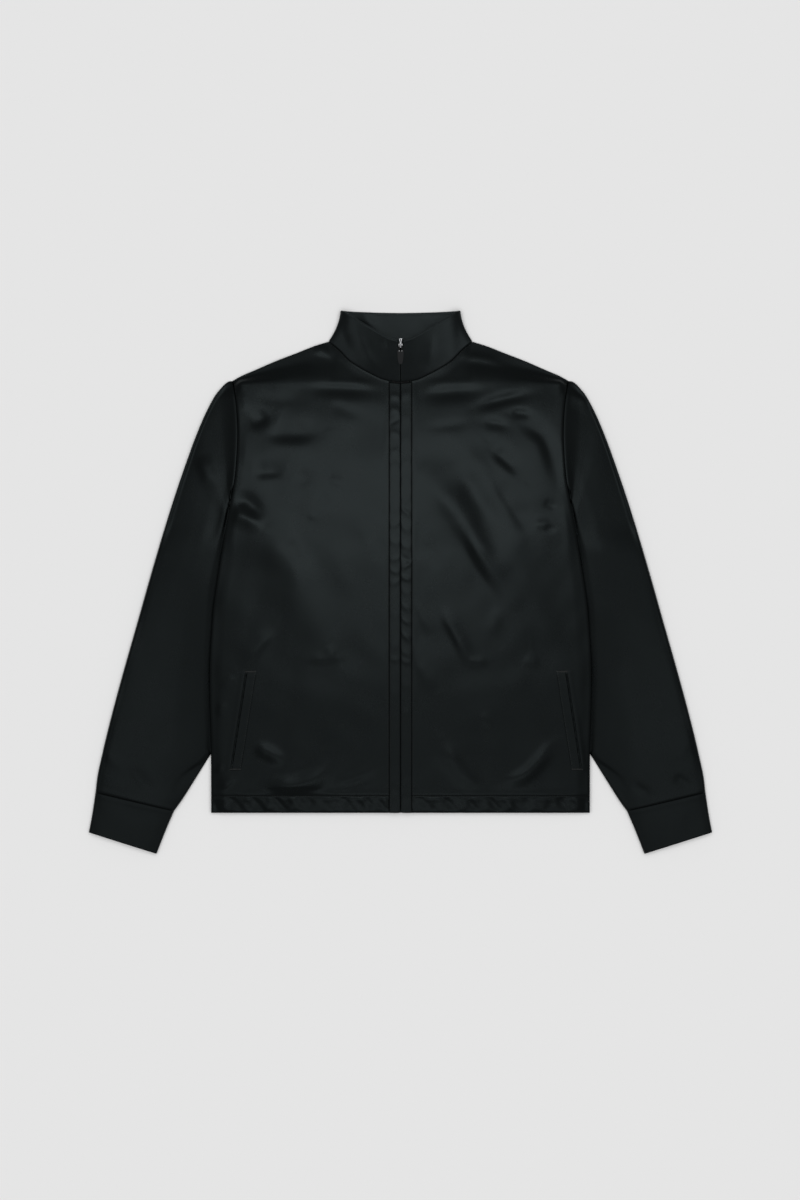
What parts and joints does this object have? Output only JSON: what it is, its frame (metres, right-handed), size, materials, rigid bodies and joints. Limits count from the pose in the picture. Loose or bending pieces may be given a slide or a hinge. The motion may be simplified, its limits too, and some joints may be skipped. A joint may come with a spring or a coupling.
{
  "type": "track jacket laid flat",
  "caption": "Zip-front track jacket lying flat on its back, with stand collar, set-in sleeves, cuffs, slanted welt pockets and a swinging zip pull.",
  "frame": {"origin": "centre of the jacket's outline, on the surface that it lies on", "axes": "+X across the jacket from sleeve to sleeve, +Y up from the hem to the collar, +Z away from the surface"},
  "size_m": [0.9006, 0.7845, 0.0204],
  "materials": {
    "body_knit": "smooth tricot knit with a soft satin sheen",
    "trim_knit": "closer, duller knit",
    "zip_tape": "matte woven tape",
    "slider_metal": "polished metal",
    "tab_rubber": "matte moulded rubber"
  },
  "bodies": {
    "garment": {"back_panel": "body_knit", "left_front": "body_knit", "right_front": "body_knit", "left_front_band": "body_knit", "right_front_band": "body_knit", "left_pocket_welt": "body_knit", "right_pocket_welt": "body_knit", "left_sleeve": "body_knit", "right_sleeve": "body_knit", "left_cuff": "trim_knit", "right_cuff": "trim_knit", "collar": "trim_knit", "left_zip_tape": "zip_tape", "right_zip_tape": "zip_tape", "zip_slider": "slider_metal"},
    "tab": {"pull_tab": "tab_rubber"}
  },
  "joints": [
    {"name": "pull_tab_swing", "type": "hinge", "parent": "garment", "child": "tab", "pos_m": [0, 0.34013, 0.01807], "axis": [-1, 0, 0], "range_deg": [0, 160]}
  ]
}
